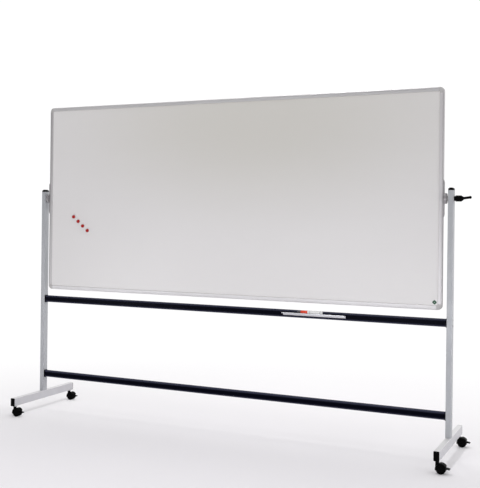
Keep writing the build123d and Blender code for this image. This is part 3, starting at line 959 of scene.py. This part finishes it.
axis_y, axis_z = ((marker_low + marker_high) / 2).yz
body_length = (marker_high.x - marker_low.x) / MM
bm = bmesh.new()
turned(
    bm,
    [
        (0, 0),
        (NECK_RADIUS - 0.8, 0),
        (NECK_RADIUS, 0.8),
        (NECK_RADIUS, NECK_LENGTH - 0.6),
        (NECK_RADIUS + 0.4, NECK_LENGTH),
        (MARKER_RADIUS - 0.6, NECK_LENGTH),
        (MARKER_RADIUS, NECK_LENGTH + 0.6),
        (MARKER_RADIUS, body_length - PLUG_GROOVE - 0.7),
        (MARKER_RADIUS - 0.4, body_length - PLUG_GROOVE - 0.3),
        (MARKER_RADIUS - 0.4, body_length - PLUG_GROOVE + 0.3),
        (MARKER_RADIUS, body_length - PLUG_GROOVE + 0.7),
        (MARKER_RADIUS, body_length - 2.2),
        (MARKER_RADIUS - 0.4, body_length - 0.9),
        (MARKER_RADIUS - 1.4, body_length - 0.1),
        (5.4, body_length),
        (5.0, body_length - 0.8),
        (0, body_length - 0.8),
    ],
    Vector((marker_low.x, axis_y, axis_z)),
    RIGHT,
)
add_piece("marker_barrel_turned", bm, "marker_barrel")
start, length = marker_end("marker_cap")
bm = bmesh.new()
turned(
    bm,
    [
        (0, CAP_BORE_DEPTH),
        (CAP_BORE, CAP_BORE_DEPTH),
        (CAP_BORE, 0),
        (MARKER_RADIUS - 0.4, 0),
        (MARKER_RADIUS, 0.5),
        (MARKER_RADIUS, CAP_GROOVE - 0.7),
        (MARKER_RADIUS - 0.3, CAP_GROOVE - 0.3),
        (MARKER_RADIUS - 0.3, CAP_GROOVE + 0.3),
        (MARKER_RADIUS, CAP_GROOVE + 0.7),
        (MARKER_RADIUS - 0.1, length - 3),
        (MARKER_RADIUS - 0.4, length - 1.2),
        (MARKER_RADIUS - 1.2, length - 0.2),
        (MARKER_RADIUS - 2.1, length),
        (0, length),
    ],
    start,
    -RIGHT,
)
for k in range(RIBS):
    angle = 2 * math.pi * k / RIBS
    out = Vector((0, math.cos(angle), math.sin(angle)))
    across = Vector((0, -math.sin(angle), math.cos(angle)))
    block(
        bm,
        start - RIGHT * (length - RIB_FROM_END) * MM + out * (MARKER_RADIUS - RIB_HALF[2]) * MM,
        RIGHT * RIB_HALF[0] * MM,
        across * RIB_HALF[1] * MM,
        out * RIB_HALF[2] * MM,
        bevel=RIB_BEVEL * MM,
    )
add_piece("marker_cap_ribbed", bm, "marker_cap")
start, length = marker_end("marker_cap_tip")
bm = bmesh.new()
turned(
    bm,
    [
        (0, 0),
        (TIP_RADIUS, 0),
        (TIP_RADIUS, length - 4),
        (TIP_RADIUS - 0.3, length - 2.2),
        (TIP_RADIUS - 1.1, length - 0.8),
        (TIP_RADIUS - 2.4, length),
        (TIP_RADIUS - 2.8, length - 0.5),
        (0, length - 0.5),
    ],
    start,
    -RIGHT,
)
add_piece("marker_cap_tip_turned", bm, "marker_cap_tip")

# Clamp lever: the CAD shape fused and smoothed as one moulding.
LEVER_VOXEL = 0.55 * MM
LEVER_SMOOTHING = 5
bm = cad_mesh("clamp_lever")
mesh = bpy.data.meshes.new("lever_source")
bm.to_mesh(mesh)
bm.free()
source = bpy.data.objects.new("lever_source", mesh)
scene.collection.objects.link(source)
fuse = source.modifiers.new("fuse", "REMESH")
fuse.mode = "VOXEL"
fuse.voxel_size = LEVER_VOXEL
smooth = source.modifiers.new("smooth", "SMOOTH")
smooth.factor = 0.5
smooth.iterations = LEVER_SMOOTHING
bm = bmesh.new()
bm.from_mesh(source.evaluated_get(bpy.context.evaluated_depsgraph_get()).to_mesh())
bpy.data.objects.remove(source)
bpy.data.meshes.remove(mesh)
add_piece("clamp_lever_moulded", bm, "clamp_lever", sharp=LEVER_SHARP)

# Casters: hoods, pedals and axles of the CAD's shape, and wheels with a grooved tread and ribbed
# faces. The three bevels are clamped, as above. The wheels' lengths are in millimetres.
HOOD_BEVEL = 0.8
PEDAL_BEVEL = 0.5
AXLE_BEVEL = 0.3
TREAD = 25.0
TREAD_GROOVES = (10.2, 7.4, 4.6)
RIM_RADIUS = 18.3
RIM_EDGE = 22.6
HUBCAP_RADIUS = 8.8
FACE_SUNK = 2.0
AXLE_BORE = 2.6
AXLE_BORE_DEPTH = 12.0
SPOKES = 9
SPOKE_FROM_AXLE = 13.0
SPOKE_HALF = (4.9, 0.8, 0.9)
SPOKE_SUNK = 1.75
SPOKE_BEVEL = 0.25


def wheel_outline(width):
    """A wheel's half section, from the hub cap's middle out and round to the bore."""
    outline = [
        (0, width - 0.3),
        (3.5, width - 0.3),
        (5.2, width - 0.6),
        (7.8, width - 0.6),
        (HUBCAP_RADIUS - 0.3, width - 1.0),
        (HUBCAP_RADIUS, width - FACE_SUNK),
        (RIM_RADIUS - 1.1, width - FACE_SUNK),
        (RIM_RADIUS - 0.4, width - 1.4),
        (RIM_RADIUS, width - 0.3),
        (RIM_RADIUS + 0.6, width),
        (RIM_EDGE, width),
        (TREAD - 1.0, width - 0.5),
        (TREAD - 0.2, width - 1.5),
        (TREAD, width - 2.6),
    ]
    for groove in TREAD_GROOVES:
        outline += [
            (TREAD, groove + 0.5),
            (TREAD - 0.6, groove + 0.3),
            (TREAD - 0.6, groove - 0.3),
            (TREAD, groove - 0.5),
        ]
    outline += [(TREAD, 2.4), (TREAD - 0.2, 1.4), (TREAD - 1.0, 0.5), (RIM_EDGE, 0)]
    return outline + [(AXLE_BORE, 0), (AXLE_BORE, AXLE_BORE_DEPTH), (0, AXLE_BORE_DEPTH)]


for corner in ("front_left", "front_right", "rear_left", "rear_right"):
    softened(f"{corner}_caster_hood", HOOD_BEVEL, segments=3)
    softened(f"{corner}_caster_pedal", PEDAL_BEVEL)
    softened(f"{corner}_caster_axle", AXLE_BEVEL)
    for side_name, sign in {"front": -1, "back": 1}.items():
        node = f"{corner}_caster_{side_name}_wheel"
        low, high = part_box(node)
        middle = (low + high) / 2
        width = (high.y - low.y) / MM
        origin = Vector((middle.x, low.y if sign > 0 else high.y, middle.z))
        bm = bmesh.new()
        turned(bm, wheel_outline(width), origin, BACK * sign, WHEEL_ROUND)
        for k in range(SPOKES):
            angle = 2 * math.pi * k / SPOKES
            out = Vector((math.cos(angle), 0, math.sin(angle)))
            across = Vector((-math.sin(angle), 0, math.cos(angle)))
            raised = BACK * sign * (width - SPOKE_SUNK) * MM
            block(
                bm,
                origin + out * SPOKE_FROM_AXLE * MM + raised,
                out * SPOKE_HALF[0] * MM,
                across * SPOKE_HALF[1] * MM,
                BACK * SPOKE_HALF[2] * MM,
                bevel=SPOKE_BEVEL * MM,
            )
        add_piece(node + "_turned", bm, node)

# ---------------------------------------------------------------- stage, light and camera

# Camera: level but for a small roll, turned to the left, with its view shifted down.
YAW = math.radians(25.01)
ROLL = math.radians(-0.66)
LENS = 62.70
SENSOR_WIDTH = 36
SHIFT_Y = -0.04994
CLIP_END = 200
EYE = Vector((2.2394, -4.5977, 1.2678))

forward = Vector((-math.sin(YAW), math.cos(YAW), 0))
level_right = Vector((math.cos(YAW), math.sin(YAW), 0))
right = math.cos(ROLL) * level_right - math.sin(ROLL) * UP
up = math.sin(ROLL) * level_right + math.cos(ROLL) * UP
turn = Matrix((right, up, -forward)).transposed().to_4x4()
camera_data = bpy.data.cameras.new("camera")
camera_data.lens = LENS
camera_data.sensor_width = SENSOR_WIDTH
camera_data.shift_y = SHIFT_Y
camera_data.clip_end = CLIP_END
camera = bpy.data.objects.new("camera", camera_data)
camera.matrix_world = Matrix.Translation(EYE) @ turn
scene.collection.objects.link(camera)
scene.camera = camera
scene.view_settings.view_transform = "Standard"

# Floor: pale paper round the object, fading outwards into the lit white of the studio.
FLOOR_CENTRE = Vector((0.4, -1.4, 0))
FLOOR_HALF_WIDTH = 60
FLOOR_CELLS = 8
FADE_START = 0.9
FADE_END = 4.8
PAPER = (0.815, 0.80, 0.83)
PAPER_GRAIN = 260.0
PAPER_SPECULAR = 0.2
GLOW = (1.0, 0.995, 1.0, 1.0)
WHITE = 1.03

floor_mesh = bpy.data.meshes.new("studio_floor")
bm = bmesh.new()
bmesh.ops.create_grid(
    bm,
    x_segments=FLOOR_CELLS,
    y_segments=FLOOR_CELLS,
    size=FLOOR_HALF_WIDTH,
)
bm.to_mesh(floor_mesh)
bm.free()
floor = bpy.data.objects.new("studio_floor", floor_mesh)
floor.location = FLOOR_CENTRE
scene.collection.objects.link(floor)

paper = Nodes("studio_paper")
away = paper.add("VectorMath", {0: paper.coords}, operation="LENGTH").outputs["Value"]
fade = paper.add(
    "MapRange",
    {"Value": away, "From Min": FADE_START, "From Max": FADE_END, "To Min": 0.0, "To Max": 1.0},
    interpolation_type="SMOOTHSTEP",
).outputs[0]
grain = paper.noise(PAPER_GRAIN, 4.0)
paper.link(paper.mix(grain, PAPER, darker(PAPER, 1.01)), "Base Color")
paper.link(paper.span(grain, 0.3, 0.7, 0.85, 0.95), "Roughness")
paper.shader.inputs["Specular IOR Level"].default_value = PAPER_SPECULAR
glow = paper.add("Emission", {"Color": GLOW, "Strength": WHITE})
blend = paper.add("MixShader", {0: fade})
paper.tree.links.new(paper.shader.outputs[0], blend.inputs[1])
paper.tree.links.new(glow.outputs[0], blend.inputs[2])
paper.tree.links.new(blend.outputs[0], paper.tree.nodes["Material Output"].inputs["Surface"])
floor_mesh.materials.append(paper.material)

# World: white behind the object and to its right. In front of it is an unlit room, darkest at the
# horizon and below. The backdrop that shows past the object is plain white.
ROOM = (0.10, 0.22)
ROOM_HEIGHTS = (0.1, 0.6)
LIT_SIDE = (0.5, 0.866, 0)
TURN_TO_LIT = (-0.5, 0.3)
BACKDROP = 1.0

world = bpy.data.worlds.new("studio")
world.use_nodes = True
scene.world = world
tree = world.node_tree
background = tree.nodes["Background"]
background.inputs["Color"].default_value = (1.0, 1.0, 1.0, 1.0)
direction = tree.nodes.new("ShaderNodeTexCoord").outputs["Generated"]


def ramp(value, from_min, from_max, to_min, to_max):
    """A world value spread from one range onto another; to_min may be an output socket."""
    node = tree.nodes.new("ShaderNodeMapRange")
    tree.links.new(value, node.inputs["Value"])
    for key, setting in {"From Min": from_min, "From Max": from_max, "To Max": to_max}.items():
        node.inputs[key].default_value = setting
    if isinstance(to_min, bpy.types.NodeSocket):
        tree.links.new(to_min, node.inputs["To Min"])
    else:
        node.inputs["To Min"].default_value = to_min
    return node.outputs[0]


facing = tree.nodes.new("ShaderNodeVectorMath")
facing.operation = "DOT_PRODUCT"
facing.inputs[1].default_value = LIT_SIDE
tree.links.new(direction, facing.inputs[0])
split = tree.nodes.new("ShaderNodeSeparateXYZ")
tree.links.new(direction, split.inputs[0])
room = ramp(split.outputs["Z"], *ROOM_HEIGHTS, *ROOM)
around = ramp(facing.outputs["Value"], *TURN_TO_LIT, room, BACKDROP)
seen = tree.nodes.new("ShaderNodeMix")
tree.links.new(tree.nodes.new("ShaderNodeLightPath").outputs["Is Camera Ray"], seen.inputs[0])
tree.links.new(around, seen.inputs[2])
seen.inputs[3].default_value = WHITE
tree.links.new(seen.outputs[0], background.inputs["Strength"])

# Lamps: sizes in metres, power in watts, spread in degrees.
WARM = (1.0, 0.965, 0.91)
COOL = (0.97, 0.975, 1.0)
NEUTRAL = (1, 1, 1)


def softbox(name, at, target, size, power, color=NEUTRAL, spread=180):
    """An area lamp of that width and height, at one point and turned to another."""
    data = bpy.data.lights.new(name, "AREA")
    data.shape = "RECTANGLE"
    data.size, data.size_y = size
    data.energy = power
    data.color = color
    data.spread = math.radians(spread)
    lamp = bpy.data.objects.new(name, data)
    lamp.location = at
    lamp.rotation_euler = (Vector(target) - Vector(at)).to_track_quat("-Z", "Y").to_euler()
    scene.collection.objects.link(lamp)


softbox("overhead", (0, 1.5, 4.8), (0, 1.5, 0), (6, 4), power=45, color=WARM)
softbox("overhead_strip", (0, -0.4, 4.6), (0, -0.4, 0), (0.4, 5), power=88)
softbox("front", (0.6, -5.5, 0.35), (0.1, 0, 0.8), (6, 0.7), power=50, color=COOL)
for side, at, target, power, spread in (
    ("left", (-3.8, -5.2, 0.3), (-1.3, 0, 0.55), 1.5, 40),
    ("middle", (0.0, -5.2, 0.3), (0.1, 0, 0.3), 0.9, 34),
    ("right", (2.6, -5.4, 0.3), (1.3, 0, 0.1), 1.2, 36),
):
    softbox("front_" + side, at, target, (1.4, 0.5), power=power, color=COOL, spread=spread)
softbox("low_right", (5.2, -0.9, 0.5), (0.8, 0, 0.2), (1.6, 0.7), power=32)
